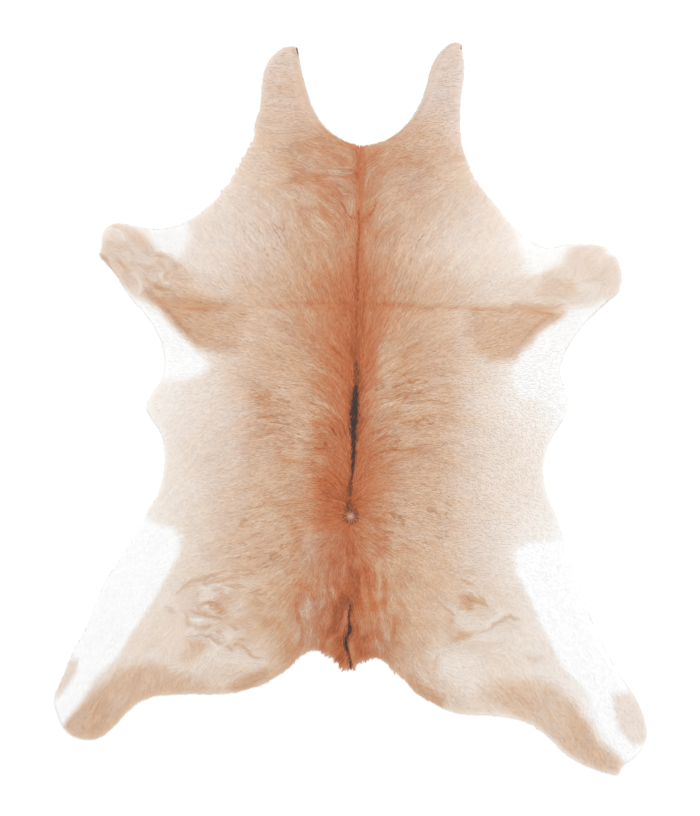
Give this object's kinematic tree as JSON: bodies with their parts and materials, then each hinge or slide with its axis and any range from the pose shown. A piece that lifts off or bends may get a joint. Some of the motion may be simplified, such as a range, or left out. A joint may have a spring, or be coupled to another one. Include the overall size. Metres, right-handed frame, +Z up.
{
  "type": "calfskin rug",
  "caption": "Flat calfskin rug, one tanned skin with short hair, leg and neck flaps, cross fold and spine parting.",
  "frame": {"origin": "on the floor, under the middle of the rug's length and width", "axes": "+Y along the spine to the neck, +X to the right seen from above with the neck up, +Z up from the floor"},
  "size_m": [0.8072, 0.9982, 0.0094],
  "materials": {
    "hair_on_skin": "short lying hair, cream and white at the flanks, tan and rust over the back, suede underside"
  },
  "bodies": {
    "root": {"calfskin": "hair_on_skin"}
  },
  "joints": []
}
